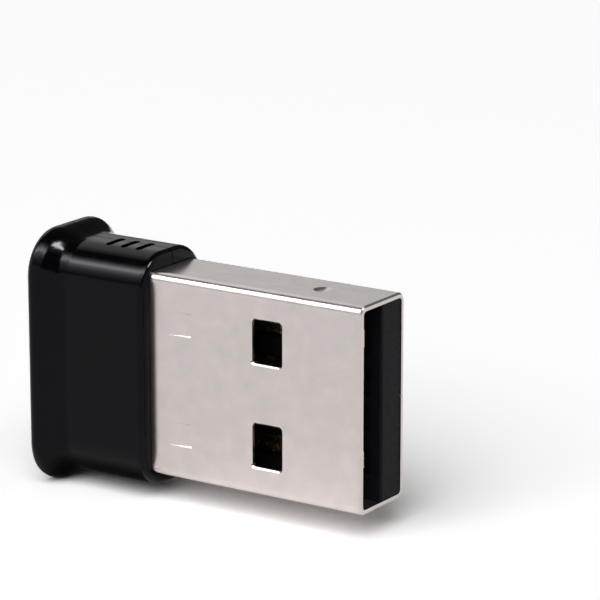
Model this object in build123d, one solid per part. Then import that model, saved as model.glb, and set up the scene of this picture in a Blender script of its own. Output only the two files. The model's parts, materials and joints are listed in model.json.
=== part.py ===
from build123d import *
import os
from math import cos, pi

# Wireless USB adapter, standing on the narrow side of its plug's width.
# Sub-parts are drawn from the plug's mouth: X = 0 is the mouth, X runs out of it,
# Y runs through the thickness, from the near face (-Y) to the far face (+Y),
# and Z runs across the width, with Z = 0 on the plug's axis.

# Folded steel shell of the plug
SHELL_WIDTH = 12.0
SHELL_THICKNESS = 4.5
SHELL_EXPOSED = 14.22
SHELL_HOUSED = 4.53
SHEET = 0.3
BEND_RADIUS = 0.55
RIM_BEVEL = 0.1

# Windows through both broad faces
WINDOW_SETBACK = 5.24
WINDOW_LENGTH = 2.0
WINDOW_WIDTH = 2.55
WINDOW_OFFSET = 3.02
WINDOW_RADIUS = 0.2
WINDOW_BEVEL = 0.08

# Half-sheared retention tabs, deep on their mouth side
TAB_FROM_COLLAR = 1.29
TAB_LENGTH = 1.55
TAB_WIDTH = 1.4
TAB_OFFSET = 3.26
TAB_DEPTH = 0.14
TAB_WALL_RUN = 0.08

# Coined dents on the narrow sides
DENT_SETBACK = 3.93
DENT_DIAMETER = 1.1
DENT_DEPTH = 0.12

# Butt seam with a dovetail, on the far face
SEAM_GAP = 0.06
DOVETAIL_SETBACK = 8.0
DOVETAIL_HEAD = 2.6
DOVETAIL_NECK = 2.0
DOVETAIL_DEPTH = 1.2

# Slots in the shell that the housing's bosses engage, and the legs at its rear
LATCH_FROM_REAR = 2.15
LATCH_LENGTH = 1.2
LATCH_WIDTH = 1.8
LATCH_OFFSET = 3.2
LEG_LENGTH = 1.15
LEG_WIDTH = 1.8

# Insulator: a tongue with channels, and the clamp that closes their rear
INSERT_CLEARANCE = 0.03
TONGUE_RECESS = 0.05
TONGUE_THICKNESS = 1.95
TONGUE_EDGE = 0.15
CHANNEL_START = 0.8
CHANNEL_WIDTH = 1.5
CHANNEL_DEPTH = 0.35
CHANNEL_TO_CLAMP = 0.6
CLAMP_LENGTH = 3.7
CLAMP_EDGE = 0.2
TAB_POCKET_CLEARANCE = 0.06

# Contact blades
BLADE_THICKNESS = 0.25
BLADE_WIDTH = 1.0
BLADE_TAIL_WIDTH = 0.7
BLADE_TIP_LONG = 1.35
BLADE_TIP_SHORT = 2.15
BLADE_TIP_BEVEL = 0.12
BLADE_ON_BOARD = 1.7
BLADE_SIDE_CLEARANCE = 0.03
INNER_PITCH = 2.0
OUTER_PITCH = 7.0

# Circuit board, whose front part stands in the shell and whose wide tail stands behind it
BOARD_THICKNESS = 0.6
BOARD_MARGIN = 0.15
BOARD_TAIL_LENGTH = 1.9
BOARD_CLEARANCE = 0.1
BOARD_CORNER = 0.3
PAD_THICKNESS = 0.05

# Housing, two moulded halves that part on the plug's middle plane
SIDE_WALL = 0.93
FACE_WALL = 0.8
BODY_CORNER = 2.35
COLLAR_EDGE = 0.38
FLANGE_RISE_SIDE = 0.65
FLANGE_RISE_FACE = 0.88
FLANGE_CORNER = 2.6
FLANGE_EDGE = 0.5
FLANGE_LAND = 0.05
FLARE_LENGTH = 1.72
FLARE_STEPS = 4
END_WALL = 1.0
CAVITY_END_GAP = 0.25
CAVITY_SIDE_GAP = 0.2
POCKET_CLEARANCE = 0.05
SEAM_GROOVE_WIDTH = 0.06
SEAM_GROOVE_DEPTH = 0.04

# Lip that keys the halves together round the rear of the housing
LIP_THICKNESS = 0.35
LIP_HEIGHT = 0.45
LIP_CLEARANCE = 0.05

# Posts and pegs that carry the board and line up the halves, set in from its rear corners
POST_DIAMETER = 1.4
POST_ROOT = 0.3
PEG_DIAMETER = 0.7
PEG_REACH = 0.7
PEG_CLEARANCE = 0.05
POST_FROM_REAR = 0.8
POST_FROM_SIDE = 0.95

# Grip slots across the narrow sides
GRIP_COUNT = 3
GRIP_FROM_COLLAR = 1.62
GRIP_PITCH = 1.05
GRIP_WIDTH = 0.45
GRIP_LENGTH = 1.6
GRIP_OFFSET = -0.4
GRIP_DEPTH = 0.4

# Parts on the board: size along X, across Z and off the board
PART_GAP = 0.2
RADIO_SIZE = (5.0, 5.0, 0.75)
RADIO_FROM_FRONT = 0.6
RADIO_Z = -0.6
RADIO_PADS_PER_SIDE = 8
RADIO_PAD_WIDTH = 0.24
RADIO_PAD_LENGTH = 0.4
MEMORY_SIZE = (2.0, 2.0, 0.55)
MEMORY_Z = -0.1
CRYSTAL_SIZE = (2.5, 3.2, 0.7)
CRYSTAL_LID_HEIGHT = 0.23
CRYSTAL_LID_INSET = 0.12
REGULATOR_SIZE = (1.6, 2.9, 1.1)
REGULATOR_PITCH = 0.95
LEAD_WIDTH = 0.35
LEAD_THICKNESS = 0.15
LEAD_REACH = 0.55
ANTENNA_SIZE = (1.4, 5.2, 1.0)
ANTENNA_END = 0.4
CHIP_PART_SIZE = (0.5, 1.0, 0.5)
CHIP_PART_END = 0.25
CHIP_PART_RELIEF = 0.03
CHIP_PART_PITCH = 1.0
CHIP_PART_SIDE_GAP = 0.2
CAPACITOR_ROWS = 2
CAPACITORS_PER_ROW = 5
CAPACITORS_FROM_FRONT = 0.5
CAPACITOR_ROW_GAP = 0.3
FERRITE_FROM_FRONT = 1.0
RESISTOR_COUNT = 3
RESISTORS_FROM_FRONT = 2.0
PART_EDGE = 0.06

# Solder
SOLDER_LENGTH = 0.35
SHELL_SOLDER_LENGTH = 0.8
SHELL_SOLDER_LEG = 0.45
SHELL_SOLDER_GAP = 0.05

# Least radius left where a bend is thinner than its sheet
RADIUS_MIN = 0.02

# Setbacks of the parts from the board's front edge, and the length that they need
CHIP_ROW_START = BLADE_ON_BOARD + SOLDER_LENGTH + PART_GAP
CHIP_ROW_LENGTH = max(CRYSTAL_SIZE[0], MEMORY_SIZE[0], REGULATOR_SIZE[0] + 2 * LEAD_REACH)
ANTENNA_START = CHIP_ROW_START + CHIP_ROW_LENGTH + BOARD_MARGIN
BOARD_LENGTH = ANTENNA_START + ANTENNA_SIZE[0] + BOARD_MARGIN
CRYSTAL_SETBACK = CHIP_ROW_START + CRYSTAL_SIZE[0] / 2
MEMORY_SETBACK = CHIP_ROW_START + MEMORY_SIZE[0] / 2
REGULATOR_SETBACK = CHIP_ROW_START + LEAD_REACH + REGULATOR_SIZE[0] / 2
ANTENNA_SETBACK = ANTENNA_START + ANTENNA_SIZE[0] / 2
FILTER_SETBACK = ANTENNA_START - PART_GAP - CHIP_PART_SIZE[0] / 2
RADIO_SETBACK = RADIO_FROM_FRONT + RADIO_SIZE[0] / 2

# Places worked out from the sizes above
SHELL_LENGTH = SHELL_EXPOSED + SHELL_HOUSED
INSERT_LENGTH = SHELL_LENGTH + BOARD_TAIL_LENGTH - BOARD_LENGTH - BOARD_CLEARANCE
TAB_SETBACK = SHELL_EXPOSED - TAB_FROM_COLLAR - TAB_LENGTH
LATCH_SETBACK = SHELL_LENGTH - LATCH_FROM_REAR
CLAMP_START = INSERT_LENGTH - CLAMP_LENGTH
CHANNEL_END = CLAMP_START - CHANNEL_TO_CLAMP
HALF_THICKNESS = SHELL_THICKNESS / 2
HALF_WIDTH = SHELL_WIDTH / 2
INNER_HALF_THICKNESS = HALF_THICKNESS - SHEET
INNER_HALF_WIDTH = HALF_WIDTH - SHEET
TONGUE_FACE_Y = INNER_HALF_THICKNESS - TONGUE_THICKNESS
FLOOR_Y = TONGUE_FACE_Y + CHANNEL_DEPTH
BLADE_TOP_Y = FLOOR_Y - BLADE_THICKNESS
SHELL_END_X = -SHELL_LENGTH
LEG_START_X = SHELL_END_X + LEG_LENGTH
BOARD_NEAR_Y = FLOOR_Y
BOARD_FAR_Y = FLOOR_Y + BOARD_THICKNESS
BOARD_HALF_WIDTH = INNER_HALF_WIDTH - BOARD_CLEARANCE
BOARD_TAIL_HALF_WIDTH = HALF_WIDTH - POCKET_CLEARANCE
BOARD_FRONT_X = -INSERT_LENGTH - BOARD_CLEARANCE
BOARD_REAR_X = BOARD_FRONT_X - BOARD_LENGTH
CHIP_SIDE_Z = INNER_HALF_WIDTH - SHELL_SOLDER_LEG - SHELL_SOLDER_GAP
CRYSTAL_Z = CHIP_SIDE_Z - CRYSTAL_SIZE[1] / 2
REGULATOR_Z = REGULATOR_SIZE[1] / 2 - CHIP_SIDE_Z
CHIP_PART_Z = BOARD_HALF_WIDTH - CHIP_PART_SIDE_GAP - CHIP_PART_SIZE[1] / 2
CAPACITOR_ROW_PITCH = CHIP_PART_SIZE[1] + CAPACITOR_ROW_GAP
BLADE_END_X = BOARD_FRONT_X - BLADE_ON_BOARD
BLADE_Z = (OUTER_PITCH / 2, INNER_PITCH / 2, -INNER_PITCH / 2, -OUTER_PITCH / 2)
COLLAR_X = -SHELL_EXPOSED
POCKET_HALF_THICKNESS = HALF_THICKNESS + POCKET_CLEARANCE
POCKET_HALF_WIDTH = HALF_WIDTH + POCKET_CLEARANCE
POCKET_END_X = SHELL_END_X - POCKET_CLEARANCE
CAVITY_HALF_WIDTH = BOARD_TAIL_HALF_WIDTH + CAVITY_SIDE_GAP
CAVITY_END_X = BOARD_REAR_X - CAVITY_END_GAP
END_X = CAVITY_END_X - END_WALL
TOTAL_LENGTH = -END_X
BODY_HEIGHT = SHELL_WIDTH + 2 * SIDE_WALL
BODY_THICKNESS = SHELL_THICKNESS + 2 * FACE_WALL
FLANGE_HEIGHT = BODY_HEIGHT + 2 * FLANGE_RISE_SIDE
FLANGE_THICKNESS = BODY_THICKNESS + 2 * FLANGE_RISE_FACE
CREST_X = END_X + FLANGE_EDGE + FLANGE_LAND
FLARE_X = CREST_X + FLARE_LENGTH
POST_X = BOARD_REAR_X + POST_FROM_REAR
POST_Z = BOARD_TAIL_HALF_WIDTH - POST_FROM_SIDE
POST_ROOT_Y = POCKET_HALF_THICKNESS + POST_ROOT


def block(x_low, x_high, y_low, y_high, z_low, z_high):
    """Box between two corners."""
    size = (x_high - x_low, y_high - y_low, z_high - z_low)
    middle = ((x_low + x_high) / 2, (y_low + y_high) / 2, (z_low + z_high) / 2)
    return Pos(*middle) * Box(*size)


def bar(x_low, x_high, thickness, width, radius):
    """Bar along X with a rounded rectangular section centred on the axis."""
    section = RectangleRounded(thickness, width, radius)
    return extrude(Plane.YZ.offset(x_low) * section, x_high - x_low)


def side_cutter(x, z, length, width, radius):
    """Rounded rectangular cutter that passes through both broad faces."""
    sketch = Pos(x, z) * RectangleRounded(length, width, radius)
    return extrude(Plane.XZ * sketch, SHELL_THICKNESS, both=True)


def wedge(x_deep, x_shallow, y_base, y_deep, z_low, z_high):
    """Wedge that is deep at one end and runs out at the other."""
    outline = Polyline((x_deep, y_base), (x_deep, y_deep), (x_shallow, y_base), close=True)
    return extrude(Plane.XY.offset(z_low) * make_face(outline), z_high - z_low)


def each_side(z):
    """The same distance to both sides of the axis."""
    return (z, -z)


# Plug shell

def tab_wedge(face, z, base):
    """Wedge of one tab from a face of the sheet inwards, deep on its mouth side."""
    return wedge(-TAB_SETBACK, -TAB_SETBACK - TAB_LENGTH, face * base,
                 face * (base - TAB_DEPTH), z - TAB_WIDTH / 2, z + TAB_WIDTH / 2)


def tab_pocket_cutter(face, z):
    """Dent outside one tab: its wedge with side walls that slope inwards."""
    half = TAB_WIDTH / 2
    surface, deep = face * HALF_THICKNESS, face * (HALF_THICKNESS - TAB_DEPTH)
    outline = Polyline(
        (surface, z - half),
        (surface, z + half),
        (deep, z + half - TAB_WALL_RUN),
        (deep, z - half + TAB_WALL_RUN),
        close=True,
    )
    trough = extrude(Plane.YZ.offset(-SHELL_LENGTH) * make_face(outline), SHELL_LENGTH)
    return tab_wedge(face, z, HALF_THICKNESS) & trough


def seam_cutter():
    """Thin dovetailed path along the far face."""
    start = -DOVETAIL_SETBACK
    flare = (DOVETAIL_HEAD - DOVETAIL_NECK) / 2
    path = Polyline(
        (SHEET, 0),
        (start, 0),
        (start + flare, DOVETAIL_DEPTH),
        (start - DOVETAIL_NECK - flare, DOVETAIL_DEPTH),
        (start - DOVETAIL_NECK, 0),
        (SHELL_END_X - SHEET, 0),
    )
    ribbon = trace(path, SEAM_GAP)
    return extrude(Plane.XZ.offset(-HALF_THICKNESS - SHEET) * ribbon, 2 * SHEET + SEAM_GAP)


def dent_cutter(side):
    """Sphere whose cap is the coined dent on one narrow side."""
    half = DENT_DIAMETER / 2
    radius = (half ** 2 + DENT_DEPTH ** 2) / (2 * DENT_DEPTH)
    z = side * (HALF_WIDTH - DENT_DEPTH + radius)
    return Pos(-DENT_SETBACK, 0, z) * Sphere(radius)


def rear_legs_cutter():
    """Everything behind the legs' root, apart from the legs."""
    waste = block(SHELL_END_X - SHEET, LEG_START_X, -SHELL_THICKNESS, SHELL_THICKNESS,
                  -SHELL_WIDTH, SHELL_WIDTH)
    middle = (BOARD_NEAR_Y + BOARD_FAR_Y) / 2
    legs = block(SHELL_END_X - SHEET, LEG_START_X, middle - LEG_WIDTH / 2,
                 middle + LEG_WIDTH / 2, -SHELL_WIDTH, SHELL_WIDTH)
    return waste - legs


def cut_windows(shell):
    """Punched windows with a bevelled outer edge."""
    middle_x = -WINDOW_SETBACK - WINDOW_LENGTH / 2
    for z in each_side(WINDOW_OFFSET):
        shell -= side_cutter(middle_x, z, WINDOW_LENGTH, WINDOW_WIDTH, WINDOW_RADIUS)
    near_windows = shell.edges().filter_by_position(
        Axis.X, middle_x - WINDOW_LENGTH, middle_x + WINDOW_LENGTH)
    rims = [edge for edge in near_windows
            if abs(abs(edge.center().Y) - HALF_THICKNESS) < RADIUS_MIN
            and edge.length < WINDOW_LENGTH + WINDOW_WIDTH]
    return chamfer(rims, WINDOW_BEVEL)


def plug_shell():
    """Folded sheet tube with its windows, tabs, dents, seam, slots and legs."""
    shell = bar(SHELL_END_X, 0, SHELL_THICKNESS, SHELL_WIDTH, BEND_RADIUS)
    inner_radius = max(BEND_RADIUS - SHEET, RADIUS_MIN)
    shell -= bar(SHELL_END_X - SHEET, SHEET, 2 * INNER_HALF_THICKNESS,
                 2 * INNER_HALF_WIDTH, inner_radius)
    rim = shell.faces().sort_by(Axis.X)[-1].outer_wire().edges()
    shell = chamfer(rim, RIM_BEVEL)
    shell = cut_windows(shell)
    for z in each_side(LATCH_OFFSET):
        shell -= side_cutter(-LATCH_SETBACK, z, LATCH_LENGTH, LATCH_WIDTH, WINDOW_RADIUS)
    for face in (-1, 1):
        for z in each_side(TAB_OFFSET):
            shell -= tab_pocket_cutter(face, z)
            shell += tab_wedge(face, z, INNER_HALF_THICKNESS)
    for side in (-1, 1):
        shell -= dent_cutter(side)
    shell -= rear_legs_cutter()
    shell -= seam_cutter()
    return shell


# Insulator and contacts

def insert_bar(x_low, x_high):
    """Bar that fills the inside of the shell, less its clearance."""
    thickness = 2 * (INNER_HALF_THICKNESS - INSERT_CLEARANCE)
    width = 2 * (INNER_HALF_WIDTH - INSERT_CLEARANCE)
    return bar(x_low, x_high, thickness, width, max(BEND_RADIUS - SHEET, RADIUS_MIN))


def tab_pocket(face, z):
    """Room for one retention tab in the insulator."""
    gap = TAB_POCKET_CLEARANCE
    deep = INNER_HALF_THICKNESS - TAB_DEPTH - gap
    y_low, y_high = sorted((face * deep, face * SHELL_THICKNESS))
    half = TAB_WIDTH / 2 + gap
    return block(-TAB_SETBACK - TAB_LENGTH - gap, -TAB_SETBACK + gap, y_low, y_high,
                 z - half, z + half)


def channel(z):
    """One contact channel: open at the front, close to the blade at the rear."""
    front = block(-CHANNEL_END, -CHANNEL_START, TONGUE_FACE_Y - SHEET, FLOOR_Y,
                  z - CHANNEL_WIDTH / 2, z + CHANNEL_WIDTH / 2)
    half = BLADE_WIDTH / 2 + BLADE_SIDE_CLEARANCE
    rear = block(-INSERT_LENGTH - SHEET, -CHANNEL_END, TONGUE_FACE_Y - SHEET, FLOOR_Y,
                 z - half, z + half)
    return front + rear


def plug_tongue():
    """Far half of the insulator, with the four contact channels in its face."""
    tongue = insert_bar(-INSERT_LENGTH, -TONGUE_RECESS)
    tongue -= block(-SHELL_LENGTH, SHEET, -SHELL_THICKNESS, TONGUE_FACE_Y,
                    -SHELL_WIDTH, SHELL_WIDTH)
    lead_in = tongue.edges().filter_by(Axis.Z).group_by(Axis.X)[-1].sort_by(Axis.Y)[0]
    tongue = fillet(lead_in, TONGUE_EDGE)
    for z in BLADE_Z:
        tongue -= channel(z)
    for z in each_side(TAB_OFFSET):
        tongue -= tab_pocket(1, z)
    return tongue


def contact_clamp():
    """Rear block over the channels, with a rail that holds down each blade."""
    clamp = insert_bar(-INSERT_LENGTH, -CLAMP_START)
    clamp -= block(-SHELL_LENGTH, SHEET, TONGUE_FACE_Y, SHELL_THICKNESS,
                   -SHELL_WIDTH, SHELL_WIDTH)
    front = clamp.edges().filter_by(Axis.Z).group_by(Axis.X)[-1].sort_by(Axis.Y)[0]
    clamp = chamfer(front, CLAMP_EDGE)
    for z in each_side(TAB_OFFSET):
        clamp -= tab_pocket(-1, z)
    half = BLADE_WIDTH / 2 - BLADE_SIDE_CLEARANCE
    for z in BLADE_Z:
        clamp += block(-INSERT_LENGTH, -CLAMP_START, TONGUE_FACE_Y - SHEET, BLADE_TOP_Y,
                       z - half, z + half)
    return clamp


def contact_blade(z, tip):
    """Flat blade with a bevelled tip, a narrow tail and its end on the board."""
    blade = block(-INSERT_LENGTH, -tip, BLADE_TOP_Y, FLOOR_Y,
                  z - BLADE_WIDTH / 2, z + BLADE_WIDTH / 2)
    nose = blade.edges().filter_by(Axis.Z).group_by(Axis.X)[-1].sort_by(Axis.Y)[0]
    blade = chamfer(nose, BLADE_TIP_BEVEL)
    blade += block(BLADE_END_X, -INSERT_LENGTH, BLADE_TOP_Y, FLOOR_Y,
                   z - BLADE_TAIL_WIDTH / 2, z + BLADE_TAIL_WIDTH / 2)
    return blade


# Circuit board and what it carries

def circuit_board():
    """Board with a wide tail behind the shell and two holes for the pegs."""
    front = block(BOARD_REAR_X, BOARD_FRONT_X, BOARD_NEAR_Y, BOARD_FAR_Y,
                  -BOARD_HALF_WIDTH, BOARD_HALF_WIDTH)
    tail_front = SHELL_END_X - BOARD_CLEARANCE
    tail = block(BOARD_REAR_X, tail_front, BOARD_NEAR_Y, BOARD_FAR_Y,
                 -BOARD_TAIL_HALF_WIDTH, BOARD_TAIL_HALF_WIDTH)
    board = front + tail
    corners = board.edges().filter_by(Axis.Y).group_by(Axis.X)[0]
    board = fillet(corners, BOARD_CORNER)
    for z in each_side(POST_Z):
        board -= post(BOARD_NEAR_Y - SHEET, BOARD_FAR_Y + SHEET, z,
                      PEG_DIAMETER / 2 + PEG_CLEARANCE)
    return board


def on_board(size, place, face):
    """Box of one part on the near (-1) or far (1) face, at its setback and its place across Z."""
    length, width, height = size
    x = BOARD_FRONT_X - place[0]
    z = place[1]
    seat = BOARD_NEAR_Y if face < 0 else BOARD_FAR_Y
    y_low, y_high = sorted((seat, seat + face * height))
    return block(x - length / 2, x + length / 2, y_low, y_high, z - width / 2, z + width / 2)


def raised_on_board(size, place, face, lift):
    """Box of one part that stands off the board by its pads' thickness."""
    body = on_board((size[0], size[1], size[2] - lift), place, face)
    return Pos(0, face * lift, 0) * body


def soften(body, face):
    """Small bevel round the top of a package."""
    top = body.faces().sort_by(Axis.Y)[-1 if face > 0 else 0]
    return chamfer(top.edges(), PART_EDGE)


def radio_chip():
    """Leadless package with a bevelled top."""
    return soften(raised_on_board(RADIO_SIZE, (RADIO_SETBACK, RADIO_Z), 1, PAD_THICKNESS), 1)


def radio_pads():
    """Rim of pads under the leadless package, and its middle pad."""
    length, width = RADIO_SIZE[:2]
    setback, z = RADIO_SETBACK, RADIO_Z
    pitch = (width - 2 * RADIO_PAD_LENGTH) / RADIO_PADS_PER_SIDE
    along = (RADIO_PAD_LENGTH, RADIO_PAD_WIDTH, PAD_THICKNESS)
    across = (RADIO_PAD_WIDTH, RADIO_PAD_LENGTH, PAD_THICKNESS)
    pads = [on_board((length / 2, width / 2, PAD_THICKNESS), (setback, z), 1)]
    for step in range(RADIO_PADS_PER_SIDE):
        shift = (step - (RADIO_PADS_PER_SIDE - 1) / 2) * pitch
        for side in (-1, 1):
            reach_x = side * (length - RADIO_PAD_LENGTH) / 2
            reach_z = side * (width - RADIO_PAD_LENGTH) / 2
            pads.append(on_board(along, (setback + reach_x, z + shift), 1))
            pads.append(on_board(across, (setback + shift, z + reach_z), 1))
    return Compound(children=pads)


def memory_chip():
    """Small leadless package."""
    return soften(on_board(MEMORY_SIZE, (MEMORY_SETBACK, MEMORY_Z), -1), -1)


def reference_crystal():
    """Ceramic tray with a seam-welded lid set in from its edge."""
    length, width, height = CRYSTAL_SIZE
    tray_height = height - CRYSTAL_LID_HEIGHT
    place = (CRYSTAL_SETBACK, CRYSTAL_Z)
    tray = on_board((length, width, tray_height), place, -1)
    inset = 2 * CRYSTAL_LID_INSET
    lid = on_board((length - inset, width - inset, CRYSTAL_LID_HEIGHT), place, -1)
    return tray + Pos(0, -tray_height, 0) * lid


def regulator_leads():
    """Gull-wing leads: three on one side of the package and two on the other."""
    length = REGULATOR_SIZE[0]
    x = BOARD_FRONT_X - REGULATOR_SETBACK
    leads = []
    rows = [(1, (-1, 0, 1)), (-1, (-1, 1))]
    shoulder = BOARD_NEAR_Y - REGULATOR_SIZE[2] / 2
    for side, slots in rows:
        for slot in slots:
            lead_z = REGULATOR_Z + slot * REGULATOR_PITCH
            face_x = x + side * length / 2
            outer = side * LEAD_REACH
            thick = side * LEAD_THICKNESS
            outline = Polyline(
                (face_x, shoulder),
                (face_x + outer / 2, shoulder),
                (face_x + outer / 2, BOARD_NEAR_Y - LEAD_THICKNESS),
                (face_x + outer, BOARD_NEAR_Y - LEAD_THICKNESS),
                (face_x + outer, BOARD_NEAR_Y),
                (face_x + outer / 2 - thick, BOARD_NEAR_Y),
                (face_x + outer / 2 - thick, shoulder + LEAD_THICKNESS),
                (face_x, shoulder + LEAD_THICKNESS),
                close=True,
            )
            strip = Plane.XY.offset(lead_z - LEAD_WIDTH / 2) * make_face(outline)
            leads.append(extrude(strip, LEAD_WIDTH))
    return Compound(children=leads)


def voltage_regulator():
    """Moulded package that its leads hold off the board."""
    place = (REGULATOR_SETBACK, REGULATOR_Z)
    return soften(raised_on_board(REGULATOR_SIZE, place, -1, PAD_THICKNESS), -1)


def antenna_chip():
    """Ceramic bar of the antenna, between its end caps."""
    length, width, height = ANTENNA_SIZE
    return on_board((length, width - 2 * ANTENNA_END, height), (ANTENNA_SETBACK, 0), -1)


def antenna_ends():
    """Metal end caps of the antenna."""
    length, width, height = ANTENNA_SIZE
    reach = (width - ANTENNA_END) / 2
    size = (length, ANTENNA_END, height)
    caps = [on_board(size, (ANTENNA_SETBACK, side * reach), -1) for side in (-1, 1)]
    return Compound(children=caps)


def chip_part(place, face):
    """Small chip part: a bar with an end cap standing proud at each end."""
    length, width, height = CHIP_PART_SIZE
    relief = 2 * CHIP_PART_RELIEF
    waist = (length - relief, width, height - CHIP_PART_RELIEF)
    part = on_board(waist, place, face)
    setback, z = place
    for side in (-1, 1):
        cap_z = z + side * (width - CHIP_PART_END) / 2
        part += on_board((length, CHIP_PART_END, height), (setback, cap_z), face)
    return part


def antenna_filter():
    """Filter between the antenna and the radio's side of the board."""
    return chip_part((FILTER_SETBACK, 0), -1)


def power_ferrite():
    """Bead in the supply line, beside the power contact."""
    return chip_part((FERRITE_FROM_FRONT, -CHIP_PART_Z), 1)


def capacitors():
    """Capacitors in rows beside the radio chip."""
    parts = []
    for row in range(CAPACITOR_ROWS):
        for step in range(CAPACITORS_PER_ROW):
            setback = CAPACITORS_FROM_FRONT + step * CHIP_PART_PITCH
            parts.append(chip_part((setback, CHIP_PART_Z - row * CAPACITOR_ROW_PITCH), 1))
    return Compound(children=parts)


def resistors():
    """Resistors in one row on the radio chip's other side."""
    setbacks = [RESISTORS_FROM_FRONT + step * CHIP_PART_PITCH for step in range(RESISTOR_COUNT)]
    parts = [chip_part((setback, -CHIP_PART_Z), 1) for setback in setbacks]
    return Compound(children=parts)


def contact_solder():
    """Solder that climbs the end of each contact's tail."""
    joints = []
    half = BLADE_TAIL_WIDTH / 2
    for z in BLADE_Z:
        joints.append(wedge(BLADE_END_X, BLADE_END_X - SOLDER_LENGTH, FLOOR_Y, BLADE_TOP_Y,
                            z - half, z + half))
    return Compound(children=joints)


def shell_solder():
    """Solder between the board's edges and the shell's legs."""
    x_high = LEG_START_X - BOARD_CLEARANCE
    joints = []
    for side in (-1, 1):
        wall = side * INNER_HALF_WIDTH
        toe = side * (INNER_HALF_WIDTH - SHELL_SOLDER_LEG)
        top = BOARD_NEAR_Y - SHELL_SOLDER_LEG
        outline = Polyline((BOARD_NEAR_Y, wall), (top, wall), (BOARD_NEAR_Y, toe), close=True)
        strip = Plane.YZ.offset(x_high - SHELL_SOLDER_LENGTH) * make_face(outline)
        joints.append(extrude(strip, SHELL_SOLDER_LENGTH))
    return Compound(children=joints)


# Housing

def skin_section(x, share, inset):
    """Outline at X, a share of the way from the body's size to the flange's."""
    thickness = BODY_THICKNESS + share * (FLANGE_THICKNESS - BODY_THICKNESS) - 2 * inset
    height = BODY_HEIGHT + share * (FLANGE_HEIGHT - BODY_HEIGHT) - 2 * inset
    corner = BODY_CORNER + share * (FLANGE_CORNER - BODY_CORNER) - inset
    return Plane.YZ.offset(x) * RectangleRounded(thickness, height, corner)


def housing_skin(inset):
    """Outer form of the closed housing: a straight body that flares into the end flange."""
    body = extrude(skin_section(FLARE_X, 0, inset), COLLAR_X - inset - FLARE_X)
    body = fillet(body.faces().sort_by(Axis.X)[-1].edges(), COLLAR_EDGE - inset)
    rim = extrude(skin_section(END_X + inset, 1, inset), CREST_X - END_X - inset)
    rim = fillet(rim.faces().sort_by(Axis.X)[0].edges(), FLANGE_EDGE - inset)
    shares = [step / FLARE_STEPS for step in range(FLARE_STEPS + 1)]
    sections = [skin_section(FLARE_X - share * FLARE_LENGTH, (1 - cos(pi * share)) / 2, inset)
                for share in shares]
    return body + loft(sections) + rim


def shell_pocket():
    """Room for the plug shell in the housing."""
    return bar(POCKET_END_X, COLLAR_X + SHEET, 2 * POCKET_HALF_THICKNESS,
               2 * POCKET_HALF_WIDTH, BEND_RADIUS + POCKET_CLEARANCE)


def rear_cavity():
    """Room for the board's wide tail behind the shell."""
    return bar(CAVITY_END_X, POCKET_END_X, 2 * POCKET_HALF_THICKNESS, 2 * CAVITY_HALF_WIDTH,
               BEND_RADIUS + POCKET_CLEARANCE)


def grip_cutters():
    """Short slots across both narrow sides, over the parting line."""
    cutters = []
    for side in (-1, 1):
        surface = side * BODY_HEIGHT / 2
        for step in range(GRIP_COUNT):
            x = COLLAR_X - GRIP_FROM_COLLAR - step * GRIP_PITCH
            sketch = Pos(x, GRIP_OFFSET) * SlotOverall(GRIP_LENGTH, GRIP_WIDTH, rotation=90)
            plane = Plane.XY.offset(surface - side * GRIP_DEPTH)
            cutters.append(extrude(plane * sketch, side * 2 * GRIP_DEPTH))
    return cutters


def seam_groove():
    """Shallow groove that follows the parting line round the outside."""
    half = SEAM_GROOVE_WIDTH / 2
    slab = block(END_X - SHEET, COLLAR_X + SHEET, -half, half, -FLANGE_HEIGHT, FLANGE_HEIGHT)
    return slab - housing_skin(SEAM_GROOVE_DEPTH)


def housing_blank():
    """Closed housing with its inner room, slots and parting groove."""
    blank = housing_skin(0) - shell_pocket() - rear_cavity()
    for cutter in grip_cutters():
        blank -= cutter
    return blank - seam_groove()


def half_of(blank, face):
    """Near (-1) or far (1) half of the housing."""
    y_low, y_high = sorted((0, face * FLANGE_THICKNESS))
    return blank & block(END_X - SHEET, SHEET, y_low, y_high, -FLANGE_HEIGHT, FLANGE_HEIGHT)


def lip_ring(grow, height):
    """Ring round the rear cavity at the parting line, open towards the plug."""
    outer_half = CAVITY_HALF_WIDTH + LIP_THICKNESS + grow
    front = POCKET_END_X + grow
    outer = block(CAVITY_END_X - LIP_THICKNESS - grow, front, 0, height,
                  -outer_half, outer_half)
    inner_half = CAVITY_HALF_WIDTH
    inner = block(CAVITY_END_X, front + SHEET, -SHEET, height + SHEET, -inner_half, inner_half)
    return outer - inner


def post(y_low, y_high, z, radius):
    """Round post along Y at the board's rear corners."""
    base = Plane.XZ.offset(-y_low) * (Pos(POST_X, z) * Circle(radius))
    return extrude(base, y_low - y_high)


def latch_boss(face, z):
    """Boss on the pocket's wall that stands in the shell's slot."""
    gap = POCKET_CLEARANCE
    tip = INNER_HALF_THICKNESS + gap
    y_low, y_high = sorted((face * tip, face * POST_ROOT_Y))
    half_x = LATCH_LENGTH / 2 - gap
    half_z = LATCH_WIDTH / 2 - gap
    return block(-LATCH_SETBACK - half_x, -LATCH_SETBACK + half_x, y_low, y_high,
                 z - half_z, z + half_z)


def housing_front(blank):
    """Near half: lip, latch bosses and the socketed posts over the board."""
    half = half_of(blank, -1)
    half += lip_ring(0, LIP_HEIGHT)
    for z in each_side(LATCH_OFFSET):
        half += latch_boss(-1, z)
    for z in each_side(POST_Z):
        half += post(-POST_ROOT_Y, BOARD_NEAR_Y, z, POST_DIAMETER / 2)
        half -= post(BOARD_NEAR_Y - PEG_REACH - PEG_CLEARANCE, BOARD_NEAR_Y + SHEET, z,
                     PEG_DIAMETER / 2 + PEG_CLEARANCE)
    return half


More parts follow.
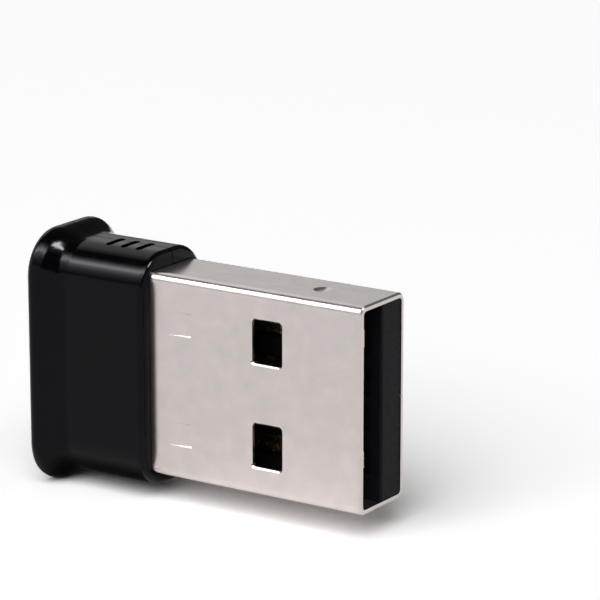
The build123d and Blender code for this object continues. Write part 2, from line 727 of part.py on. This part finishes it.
def housing_back(blank):
    """Far half: rebate for the lip, latch bosses and the posts with their pegs."""
    half = half_of(blank, 1)
    half -= lip_ring(LIP_CLEARANCE, LIP_HEIGHT + LIP_CLEARANCE)
    for z in each_side(LATCH_OFFSET):
        half += latch_boss(1, z)
    for z in each_side(POST_Z):
        half += post(BOARD_FAR_Y, POST_ROOT_Y, z, POST_DIAMETER / 2)
        half += post(BOARD_NEAR_Y - PEG_REACH, BOARD_FAR_Y + SHEET, z, PEG_DIAMETER / 2)
    return half


def adapter():
    """Every sub-part by name, still in the plug's frame."""
    blank = housing_blank()
    return {
        "plug_shell": plug_shell(),
        "plug_tongue": plug_tongue(),
        "contact_clamp": contact_clamp(),
        "contact_power": contact_blade(BLADE_Z[3], BLADE_TIP_LONG),
        "contact_data_minus": contact_blade(BLADE_Z[2], BLADE_TIP_SHORT),
        "contact_data_plus": contact_blade(BLADE_Z[1], BLADE_TIP_SHORT),
        "contact_ground": contact_blade(BLADE_Z[0], BLADE_TIP_LONG),
        "circuit_board": circuit_board(),
        "radio_chip": radio_chip(),
        "radio_pads": radio_pads(),
        "memory_chip": memory_chip(),
        "reference_crystal": reference_crystal(),
        "voltage_regulator": voltage_regulator(),
        "regulator_leads": regulator_leads(),
        "antenna_chip": antenna_chip(),
        "antenna_ends": antenna_ends(),
        "antenna_filter": antenna_filter(),
        "power_ferrite": power_ferrite(),
        "capacitors": capacitors(),
        "resistors": resistors(),
        "contact_solder": contact_solder(),
        "shell_solder": shell_solder(),
        "housing_front": housing_front(blank),
        "housing_back": housing_back(blank),
    }


# The whole stands with the flange's edge on Z = 0 and the middle of its box over the origin
PLACE = Pos(TOTAL_LENGTH / 2, 0, FLANGE_HEIGHT / 2)

os.makedirs("parts", exist_ok=True)
for name, shape in adapter().items():
    export_step(PLACE * shape, f"parts/{name}.step")
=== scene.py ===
"""Studio scene of a short plug-in wireless adapter.

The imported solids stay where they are. This script gives them their finishes, stands them on a
pale floor and sets the lamps, the reflection cards and the camera. Lengths are in metres, and
sizes that are easier to read in millimetres are multiplied by MM.
"""

import json
import logging
import math
from dataclasses import dataclass
from enum import Enum

import bpy
from mathutils import Matrix, Quaternion, Vector


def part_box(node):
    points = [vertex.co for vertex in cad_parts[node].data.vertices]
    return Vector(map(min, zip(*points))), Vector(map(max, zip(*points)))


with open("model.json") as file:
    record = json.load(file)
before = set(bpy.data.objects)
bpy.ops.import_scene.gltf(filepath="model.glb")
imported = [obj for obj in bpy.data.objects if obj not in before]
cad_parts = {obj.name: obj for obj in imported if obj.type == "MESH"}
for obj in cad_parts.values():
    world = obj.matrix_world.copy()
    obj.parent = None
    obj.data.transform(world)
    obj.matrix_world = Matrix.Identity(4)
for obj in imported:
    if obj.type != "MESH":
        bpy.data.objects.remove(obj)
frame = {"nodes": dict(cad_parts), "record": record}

LOG = logging.getLogger("adapter")
MM = 0.001

Colour = tuple[float, float, float]
Triple = tuple[float, float, float]

WHITE: Colour = (1.0, 1.0, 1.0)
COOL_SHEEN: Colour = (0.94, 0.92, 1.0)
EVEN: Triple = (1.0, 1.0, 1.0)

# Most of a noise lies between these two values.
NOISE_LOW = 0.3
NOISE_HIGH = 0.7


class Slot(Enum):
    """The record's material slots."""

    PLUG_STEEL = "plug_steel"
    INSULATOR = "insulator_plastic"
    CONTACT_GOLD = "contact_gold"
    BOARD = "board_laminate"
    PACKAGE = "package_plastic"
    TINNED = "tinned_metal"
    CRYSTAL_CAN = "crystal_can"
    ANTENNA = "antenna_ceramic"
    CAPACITOR = "capacitor_ceramic"
    FERRITE = "ferrite_ceramic"
    HOUSING = "housing_plastic"


@dataclass(frozen=True)
class Grain:
    """One noise pattern: its features in a millimetre, its finer layers and how it is drawn out.

    The stretch tells how much finer the pattern runs along each axis.
    """

    per_mm: float
    layers: float = 3.0
    stretch: Triple = EVEN


class ShaderTree:
    """Adds and wires the nodes of one material."""

    def __init__(self, name: str) -> None:
        """Start a material that holds one Principled shader.

        Args:
            name: Name of the new material.
        """
        self.material = bpy.data.materials.new(name)
        self.material.use_nodes = True
        self.tree = self.material.node_tree
        self.tree.nodes.clear()
        self.output = self.add("ShaderNodeOutputMaterial")
        self.surface = self.add("ShaderNodeBsdfPrincipled")
        self.wire(self.surface.outputs["BSDF"], self.output.inputs["Surface"])

    def finish_with(self, source: bpy.types.NodeSocket) -> None:
        """Give the surface to another shader and drop the Principled one."""
        self.wire(source, self.output.inputs["Surface"])
        self.tree.nodes.remove(self.surface)

    def add(self, kind: str) -> bpy.types.Node:
        """Return a new node of this kind."""
        return self.tree.nodes.new(kind)

    def wire(self, source: bpy.types.NodeSocket, target: bpy.types.NodeSocket) -> None:
        """Link one socket to another."""
        self.tree.links.new(source, target)

    def set(self, **values: float | Colour) -> None:
        """Set constant sockets of the Principled shader.

        Args:
            **values: Socket names with underscores for spaces, and their values.
        """
        for name, value in values.items():
            socket = self.surface.inputs[name.replace("_", " ")]
            socket.default_value = (*value, 1.0) if isinstance(value, tuple) else value

    def place(self, stretch: Triple = EVEN) -> bpy.types.NodeSocket:
        """Give object coordinates in millimetres.

        Args:
            stretch: How much finer the pattern runs along each axis.

        Returns:
            The scaled vector.
        """
        coordinates = self.add("ShaderNodeTexCoord")
        mapping = self.add("ShaderNodeMapping")
        mapping.inputs["Scale"].default_value = tuple(part / MM for part in stretch)
        self.wire(coordinates.outputs["Object"], mapping.inputs["Vector"])
        return mapping.outputs["Vector"]

    def noise(self, grain: Grain) -> bpy.types.NodeSocket:
        """Add a noise.

        Args:
            grain: The pattern.

        Returns:
            The noise value.
        """
        node = self.add("ShaderNodeTexNoise")
        node.inputs["Scale"].default_value = grain.per_mm
        node.inputs["Detail"].default_value = grain.layers
        self.wire(self.place(grain.stretch), node.inputs["Vector"])
        return node.outputs["Fac"]

    def spread(self, source: bpy.types.NodeSocket, low: float, high: float,
               start: float = NOISE_LOW, end: float = NOISE_HIGH) -> bpy.types.NodeSocket:
        """Map a value to a new range.

        Args:
            source: The value to map.
            low: Result at the start of the range.
            high: Result at the end of the range.
            start: Source value that gives low.
            end: Source value that gives high.

        Returns:
            The mapped value.
        """
        node = self.add("ShaderNodeMapRange")
        node.inputs["From Min"].default_value = start
        node.inputs["From Max"].default_value = end
        node.inputs["To Min"].default_value = low
        node.inputs["To Max"].default_value = high
        self.wire(source, node.inputs["Value"])
        return node.outputs["Result"]

    def blend(self, factor: bpy.types.NodeSocket, first: Colour,
              second: Colour) -> bpy.types.NodeSocket:
        """Mix two colours.

        Args:
            factor: Share of the second colour.
            first: Colour where the factor is 0.
            second: Colour where the factor is 1.

        Returns:
            The mixed colour.
        """
        node = self.add("ShaderNodeMix")
        node.data_type = "RGBA"
        node.inputs["A"].default_value = (*first, 1.0)
        node.inputs["B"].default_value = (*second, 1.0)
        self.wire(factor, node.inputs["Factor"])
        return node.outputs["Result"]

    def colour(self, source: bpy.types.NodeSocket) -> None:
        """Drive the base colour."""
        self.wire(source, self.surface.inputs["Base Color"])

    def mottle(self, pattern: bpy.types.NodeSocket, first: Colour, second: Colour,
               start: float = NOISE_LOW, end: float = NOISE_HIGH) -> None:
        """Colour the surface from the first colour to the second as the pattern rises."""
        self.colour(self.blend(self.spread(pattern, 0.0, 1.0, start, end), first, second))

    def roughness(self, source: bpy.types.NodeSocket) -> None:
        """Drive the roughness."""
        self.wire(source, self.surface.inputs["Roughness"])

    def bump(self, height: bpy.types.NodeSocket, depth: float) -> None:
        """Raise the surface by a height.

        Args:
            height: Height between 0 and 1.
            depth: Depth of the full height, in metres.
        """
        node = self.add("ShaderNodeBump")
        node.inputs["Strength"].default_value = 1.0
        node.inputs["Distance"].default_value = depth
        self.wire(height, node.inputs["Height"])
        self.wire(node.outputs["Normal"], self.surface.inputs["Normal"])


@dataclass(frozen=True)
class SatinNickel:
    """Plated sheet: fine rolling lines along the plug, and faint cloudy patches."""

    name: str = "satin_nickel"
    light: Colour = (0.605, 0.538, 0.527)
    dark: Colour = (0.535, 0.498, 0.48)
    smooth: float = 0.2
    rough: float = 0.27
    clouds: Grain = Grain(1.0, 6.0)
    lines: Grain = Grain(4.0, 5.0, (0.25, 6.0, 6.0))
    line_depth: float = 0.0006 * MM

    def material(self) -> bpy.types.Material:
        """Mix the finish.

        Returns:
            The finish as a material.
        """
        shader = ShaderTree(self.name)
        shader.set(Metallic=1.0)
        shader.mottle(shader.noise(self.clouds), self.dark, self.light)
        lines = shader.noise(self.lines)
        shader.roughness(shader.spread(lines, self.smooth, self.rough))
        shader.bump(lines, self.line_depth)
        return shader.material


@dataclass(frozen=True)
class GlossMoulding:
    """Black moulded plastic from a polished tool: a slow waviness and a few fine rubs."""

    name: str = "gloss_moulding"
    base: Colour = (0.001, 0.001, 0.0014)
    dust: Colour = (0.0018, 0.0018, 0.0024)
    smooth: float = 0.10
    rough: float = 0.15
    specular: float = 0.105
    tint: Colour = COOL_SHEEN
    patches: Grain = Grain(0.8, 4.0)
    rubs: Grain = Grain(3.0, 4.0, (0.6, 1.0, 2.4))
    waves: Grain = Grain(0.9, 1.0)
    wave_depth: float = 0.0015 * MM

    def material(self) -> bpy.types.Material:
        """Mix the finish.

        Returns:
            The finish as a material.
        """
        shader = ShaderTree(self.name)
        shader.set(Specular_IOR_Level=self.specular, Specular_Tint=self.tint)
        shader.mottle(shader.noise(self.patches), self.base, self.dust)
        shader.roughness(shader.spread(shader.noise(self.rubs), self.smooth, self.rough))
        shader.bump(shader.noise(self.waves), self.wave_depth)
        return shader.material


@dataclass(frozen=True)
class MattMoulding:
    """Spark-textured or filled plastic, as on the insulator and the chip packages."""

    name: str
    base: Colour
    worn: Colour
    smooth: float
    rough: float
    grain: Grain
    grain_depth: float
    specular: float = 0.35
    tint: Colour = WHITE
    patches: Grain = Grain(0.9)

    def material(self) -> bpy.types.Material:
        """Mix the finish.

        Returns:
            The finish as a material.
        """
        shader = ShaderTree(self.name)
        shader.set(Specular_IOR_Level=self.specular, Specular_Tint=self.tint)
        shader.mottle(shader.noise(self.patches), self.base, self.worn)
        grain = shader.noise(self.grain)
        shader.roughness(shader.spread(grain, self.smooth, self.rough))
        shader.bump(grain, self.grain_depth)
        return shader.material


@dataclass(frozen=True)
class PlatedMetal:
    """Plated or tinned metal with flow marks."""

    name: str
    bright: Colour
    dull: Colour
    smooth: float
    rough: float
    flow: Grain = Grain(3.0)
    flow_depth: float = 0.004 * MM

    def material(self) -> bpy.types.Material:
        """Mix the finish.

        Returns:
            The finish as a material.
        """
        shader = ShaderTree(self.name)
        shader.set(Metallic=1.0)
        flow = shader.noise(self.flow)
        shader.mottle(flow, self.dull, self.bright)
        shader.roughness(shader.spread(flow, self.rough, self.smooth))
        shader.bump(flow, self.flow_depth)
        return shader.material


@dataclass(frozen=True)
class FiredCeramic:
    """Fired ceramic body with a fine speckle."""

    name: str
    body: Colour
    speck: Colour
    smooth: float = 0.45
    rough: float = 0.65
    specks: Grain = Grain(9.0, 2.0)
    speck_start: float = 0.45
    speck_full: float = 0.75
    speck_depth: float = 0.003 * MM

    def material(self) -> bpy.types.Material:
        """Mix the finish.

        Returns:
            The finish as a material.
        """
        shader = ShaderTree(self.name)
        specks = shader.noise(self.specks)
        shader.mottle(specks, self.body, self.speck, self.speck_start, self.speck_full)
        shader.roughness(shader.spread(specks, self.smooth, self.rough))
        shader.bump(specks, self.speck_depth)
        return shader.material


@dataclass(frozen=True)
class MaskedLaminate:
    """Solder mask over copper: raised tracks with a lighter tone. Track sizes are in mm."""

    name: str = "masked_laminate"
    mask: Colour = (0.010, 0.085, 0.035)
    over_copper: Colour = (0.022, 0.15, 0.06)
    smooth: float = 0.3
    rough: float = 0.42
    sheen: Grain = Grain(4.0)
    track_pitch: float = 0.55
    track_run: float = 2.2
    track_width: float = 0.09
    track_softness: float = 0.3
    track_depth: float = 0.02 * MM

    def tracks(self, shader: ShaderTree) -> bpy.types.NodeSocket:
        """Draw the tracks on the board's plane.

        Args:
            shader: Tree that takes the nodes.

        Returns:
            1 on a track and 0 beside it.
        """
        split = shader.add("ShaderNodeSeparateXYZ")
        plane = shader.add("ShaderNodeCombineXYZ")
        shader.wire(shader.place(), split.inputs["Vector"])
        shader.wire(split.outputs["X"], plane.inputs["X"])
        shader.wire(split.outputs["Z"], plane.inputs["Y"])
        bricks = shader.add("ShaderNodeTexBrick")
        bricks.offset = 0.5
        for name, value in (("Scale", 1.0), ("Mortar Size", self.track_width),
                            ("Mortar Smooth", self.track_softness),
                            ("Brick Width", self.track_run), ("Row Height", self.track_pitch)):
            bricks.inputs[name].default_value = value
        shader.wire(plane.outputs["Vector"], bricks.inputs["Vector"])
        return bricks.outputs["Fac"]

    def material(self) -> bpy.types.Material:
        """Mix the finish.

        Returns:
            The finish as a material.
        """
        shader = ShaderTree(self.name)
        tracks = self.tracks(shader)
        shader.colour(shader.blend(tracks, self.mask, self.over_copper))
        shader.roughness(shader.spread(shader.noise(self.sheen), self.smooth, self.rough))
        shader.bump(tracks, self.track_depth)
        return shader.material


FINISHES = {
    Slot.PLUG_STEEL: SatinNickel(),
    Slot.HOUSING: GlossMoulding(),
    Slot.INSULATOR: MattMoulding(
        "insulator_black", base=(0.002, 0.002, 0.003), worn=(0.0035, 0.0035, 0.0048),
        smooth=0.5, rough=0.65, grain=Grain(7.0, 2.0), grain_depth=0.002 * MM,
        specular=0.1, tint=COOL_SHEEN),
    Slot.PACKAGE: MattMoulding(
        "package_black", base=(0.025, 0.025, 0.027), worn=(0.04, 0.04, 0.042),
        smooth=0.55, rough=0.7, grain=Grain(14.0, 2.0), grain_depth=0.004 * MM),
    Slot.CONTACT_GOLD: PlatedMetal(
        "flash_gold", bright=(0.88, 0.68, 0.33), dull=(0.78, 0.58, 0.27),
        smooth=0.16, rough=0.3, flow_depth=0.001 * MM),
    Slot.TINNED: PlatedMetal(
        "tin", bright=(0.78, 0.78, 0.79), dull=(0.6, 0.6, 0.62),
        smooth=0.25, rough=0.45, flow=Grain(5.0)),
    Slot.CRYSTAL_CAN: PlatedMetal(
        "crystal_lid", bright=(0.8, 0.77, 0.68), dull=(0.7, 0.67, 0.6),
        smooth=0.22, rough=0.34),
    Slot.BOARD: MaskedLaminate(),
    Slot.ANTENNA: FiredCeramic(
        "antenna_white", body=(0.8, 0.79, 0.74), speck=(0.66, 0.64, 0.58)),
    Slot.CAPACITOR: FiredCeramic(
        "capacitor_tan", body=(0.42, 0.3, 0.19), speck=(0.55, 0.42, 0.28)),
    Slot.FERRITE: FiredCeramic(
        "ferrite_grey", body=(0.045, 0.045, 0.05), speck=(0.09, 0.09, 0.1)),
}


@dataclass(frozen=True)
class Dresser:
    """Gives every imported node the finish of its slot."""

    record: dict
    nodes: dict

    def dress(self) -> None:
        """Replace each node's plain material by its finish."""
        made = {slot: finish.material() for slot, finish in FINISHES.items()}
        for part in self.record["subparts"]:
            finish = made[Slot(part["material_slot"])]
            for holder in self.nodes[part["node"]].material_slots:
                holder.material = finish
            LOG.info("%s is finished in %s", part["node"], finish.name)


def facing(away: Vector) -> Quaternion:
    """Turn a flat thing to face the object, with its width along the plug.

    Args:
        away: Unit vector from the object to the thing.

    Returns:
        The turn, with the thing's own Z pointing away from the object.
    """
    along = Vector((1.0, 0.0, 0.0))
    along = (along - away * along.dot(away)).normalized()
    up = away.cross(along)
    return Matrix((along, up, away)).transposed().to_quaternion()


class Role(Enum):
    """What a lamp does: it lights surfaces, or it shows as a reflection."""

    LIGHT = "light"
    SHINE = "shine"


@dataclass(frozen=True)
class Lamp:
    """One rectangular softbox that faces the object."""

    name: str
    towards: Triple
    distance: float
    width: float
    height: float
    radiance: float
    role: Role

    def build(self, target: Vector) -> bpy.types.Object:
        """Hang the lamp.

        Args:
            target: Point that the lamp faces.

        Returns:
            The lamp's object.
        """
        data = bpy.data.lights.new(self.name, "AREA")
        data.shape = "RECTANGLE"
        data.size = self.width
        data.size_y = self.height
        data.energy = self.radiance * math.pi * self.width * self.height
        lamp = bpy.data.objects.new(self.name, data)
        away = Vector(self.towards).normalized()
        lamp.location = target + away * self.distance
        lamp.rotation_mode = "QUATERNION"
        lamp.rotation_quaternion = facing(away)
        lamp.visible_diffuse = self.role is Role.LIGHT
        lamp.visible_glossy = self.role is Role.SHINE
        bpy.context.scene.collection.objects.link(lamp)
        LOG.info("%s hangs %.2f m away", self.name, self.distance)
        return lamp


@dataclass(frozen=True)
class Card:
    """A card along the plug that only reflections see, as set beside glossy things.

    Its profile is pairs of an angle and a radiance. The angle is in degrees round the plug, from 0
    at the near horizon over 90 straight above to 180 at the far horizon, and -90 straight below.
    It reaches from start to end along the plug.
    """

    name: str
    profile: tuple[tuple[float, float], ...]
    start: float
    end: float
    distance: float = 0.25

    @property
    def middle(self) -> float:
        """Angle that the card's middle lies at, in degrees."""
        return (self.profile[0][0] + self.profile[-1][0]) / 2

    @property
    def height(self) -> float:
        """Height of the card across the plug, in metres."""
        opening = math.radians(self.profile[-1][0] - self.profile[0][0])
        return 2 * self.distance * math.tan(opening / 2)

    def sheen(self) -> bpy.types.Material:
        """Make a glow that follows the profile across the card.

        Returns:
            The glowing material.
        """
        shader = ShaderTree(self.name)
        coordinates = shader.add("ShaderNodeTexCoord")
        split = shader.add("ShaderNodeSeparateXYZ")
        shader.wire(coordinates.outputs["Object"], split.inputs["Vector"])
        ramp = shader.add("ShaderNodeValToRGB")
        peak = max(radiance for _, radiance in self.profile)
        elements = ramp.color_ramp.elements
        for index, (angle, radiance) in enumerate(self.profile):
            turn = math.radians(angle - self.middle)
            place = 0.5 + self.distance * math.tan(turn) / self.height
            if 0 < index < len(self.profile) - 1:
                element = elements.new(place)
            else:
                element = elements[-1 if index else 0]
            element.color = (*(radiance / peak,) * 3, 1.0)
        half = self.height / 2
        shader.wire(shader.spread(split.outputs["Y"], 0.0, 1.0, -half, half), ramp.inputs["Fac"])
        glow = shader.add("ShaderNodeEmission")
        glow.inputs["Strength"].default_value = peak
        shader.wire(ramp.outputs["Color"], glow.inputs["Color"])
        shader.finish_with(glow.outputs["Emission"])
        return shader.material

    def build(self, target: Vector) -> bpy.types.Object:
        """Stand the card.

        Args:
            target: Point whose line along the plug the card faces.

        Returns:
            The card's object.
        """
        across, up = (self.end - self.start) / 2, self.height / 2
        outline = [(-across, -up, 0), (across, -up, 0), (across, up, 0), (-across, up, 0)]
        mesh = bpy.data.meshes.new(self.name)
        mesh.from_pydata(outline, [], [(0, 1, 2, 3)])
        mesh.materials.append(self.sheen())
        card = bpy.data.objects.new(self.name, mesh)
        turn = math.radians(self.middle)
        away = Vector((0.0, -math.cos(turn), math.sin(turn)))
        along = Vector(((self.start + self.end) / 2, 0.0, 0.0))
        card.location = target + along + away * self.distance
        card.rotation_mode = "QUATERNION"
        card.rotation_quaternion = facing(away)
        bpy.context.scene.collection.objects.link(card)
        card.visible_camera = False
        card.visible_diffuse = False
        card.visible_shadow = False
        LOG.info("%s stands %.2f m away", self.name, self.distance)
        return card


@dataclass(frozen=True)
class Studio:
    """Pale floor, white surroundings, softboxes and cards."""

    floor_size: float = 3.0
    floor_tone: float = 0.9
    floor_tone_seen: float = 1.35
    surroundings_fill: float = 0.1
    surroundings_seen: float = 1.0
    target: Triple = (0.0, 0.0, 7.5 * MM)
    lamps: tuple[Lamp, ...] = (
        Lamp("front_softbox", towards=(0.15, -0.8, 0.9), distance=6.0,
             width=6.2, height=6.2, radiance=3.4, role=Role.LIGHT),
        Lamp("corner_window", towards=(0.515, -0.04, 0.856), distance=0.25,
             width=0.045, height=0.064, radiance=65.0, role=Role.SHINE),
    )
    cards: tuple[Card, ...] = (
        Card("band_card",
             ((19, 0.25), (25, 0.3), (30, 0.85), (35, 1.4), (40, 2.3), (46, 4.4), (52, 9.0),
              (56, 17.5), (60, 15.0), (63.5, 8.5), (68, 3.4), (72, 1.4), (75, 0.5), (78, 0.02)),
             start=-0.28, end=0.126),
        # Painted shadow: a glowing card on the floor under the plug that only reflections see. It
        # is dark in the middle and bright at its edges, so the underside reflects a painted shadow
        # of the floor.
        Card("painted_floor_shadow_card",
             ((-120.5, 1.0), (-115, 0.5), (-110.5, 0.15), (-105.7, 0.04), (-90, 0.015),
              (-74.3, 0.04), (-69.5, 0.15), (-65, 0.5), (-59.5, 1.0)),
             start=-0.0145, end=-0.0045, distance=7.48 * MM),
        Card("mouth_dark_card", ((15, 0.02), (78, 0.02)), start=0.126, end=0.4),
        Card("zenith_dark_card", ((76, 0.02), (97, 0.02)), start=-0.35, end=0.4, distance=0.27),
        Card("back_dark_card", ((94, 0.05), (120, 0.1), (140, 0.14), (168, 0.05)),
             start=-0.53, end=0.52, distance=1.0),
        Card("horizon_dark_card", ((164, 0.05), (188, 0.05)), start=-0.55, end=0.52, distance=1.0),
        Card("back_grey_card",
             ((95, 0.1), (98, 0.3), (102, 0.6), (107, 0.75), (113, 1.2), (120, 1.2), (135, 1.0),
              (150, 0.88), (160, 0.88), (168, 0.45), (176, 0.25), (188, 0.25)),
             start=-1.9, end=0.2, distance=1.2),
    )

    def floor(self) -> None:
        """Lay the floor, which is whiter to the eye and to reflections than in what it lights."""
        half = self.floor_size / 2
        mesh = bpy.data.meshes.new("floor")
        mesh.from_pydata([(-half, -half, 0), (half, -half, 0), (half, half, 0), (-half, half, 0)],
                         [], [(0, 1, 2, 3)])
        floor = bpy.data.objects.new("floor", mesh)
        bpy.context.scene.collection.objects.link(floor)
        shader = ShaderTree("floor_paper")
        path = shader.add("ShaderNodeLightPath")
        seen = shader.add("ShaderNodeMath")
        seen.operation = "MAXIMUM"
        shader.wire(path.outputs["Is Camera Ray"], seen.inputs[0])
        shader.wire(path.outputs["Is Glossy Ray"], seen.inputs[1])
        tone = shader.blend(seen.outputs["Value"], (self.floor_tone,) * 3,
                            (self.floor_tone_seen,) * 3)
        paper = shader.add("ShaderNodeBsdfDiffuse")
        shader.wire(tone, paper.inputs["Color"])
        shader.finish_with(paper.outputs["BSDF"])
        mesh.materials.append(shader.material)
        LOG.info("floor laid")

    def surroundings(self) -> None:
        """Make the world white to the eye and to reflections, and dim as a light."""
        world = bpy.data.worlds.new("surroundings")
        bpy.context.scene.world = world
        world.use_nodes = True
        tree = world.node_tree
        tree.nodes.clear()
        path = tree.nodes.new("ShaderNodeLightPath")
        seen = path.outputs["Is Camera Ray"]
        for name in ("Is Glossy Ray", "Is Transmission Ray"):
            either = tree.nodes.new("ShaderNodeMath")
            either.operation = "MAXIMUM"
            tree.links.new(seen, either.inputs[0])
            tree.links.new(path.outputs[name], either.inputs[1])
            seen = either.outputs["Value"]
        mix = tree.nodes.new("ShaderNodeMixShader")
        tree.links.new(seen, mix.inputs["Fac"])
        for index, strength in ((1, self.surroundings_fill), (2, self.surroundings_seen)):
            glow = tree.nodes.new("ShaderNodeBackground")
            glow.inputs["Color"].default_value = (*WHITE, 1.0)
            glow.inputs["Strength"].default_value = strength
            tree.links.new(glow.outputs["Background"], mix.inputs[index])
        output = tree.nodes.new("ShaderNodeOutputWorld")
        tree.links.new(mix.outputs["Shader"], output.inputs["Surface"])
        LOG.info("surroundings set")

    def build(self) -> None:
        """Build everything round the object."""
        target = Vector(self.target)
        self.floor()
        self.surroundings()
        for lamp in self.lamps:
            lamp.build(target)
        for card in self.cards:
            card.build(target)


@dataclass(frozen=True)
class Viewpoint:
    """The camera, placed from the middle of the plug's mouth."""

    from_mouth: Triple = (95.6 * MM, -152.3 * MM, 53.35 * MM)
    backwards: Triple = (0.5347, -0.8057, 0.2549)
    lens_mm: float = 203.1
    sensor_mm: float = 36.0
    nearest: float = 0.01
    farthest: float = 10.0

    def build(self, mouth: Vector) -> bpy.types.Object:
        """Set the camera.

        Args:
            mouth: Middle of the plug's mouth.

        Returns:
            The camera's object.
        """
        data = bpy.data.cameras.new("camera")
        data.lens = self.lens_mm
        data.sensor_width = self.sensor_mm
        data.clip_start = self.nearest
        data.clip_end = self.farthest
        camera = bpy.data.objects.new("camera", data)
        camera.location = mouth + Vector(self.from_mouth)
        camera.rotation_mode = "QUATERNION"
        camera.rotation_quaternion = Vector(self.backwards).to_track_quat("Z", "Y")
        bpy.context.scene.collection.objects.link(camera)
        bpy.context.scene.camera = camera
        LOG.info("camera set")
        return camera


def main() -> None:
    """Build the scene in order, placing the camera from the box of the plug shell."""
    logging.basicConfig(level=logging.INFO, format="%(name)s: %(message)s")
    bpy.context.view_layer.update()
    shell_low, shell_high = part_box("plug_shell")
    mouth = Vector((shell_high[0], 0.0, (shell_low[2] + shell_high[2]) / 2))
    Dresser(frame["record"], frame["nodes"]).dress()
    Studio().build()
    Viewpoint().build(mouth)
    bpy.context.scene.view_settings.view_transform = "Standard"


if __name__ == "__main__":
    main()
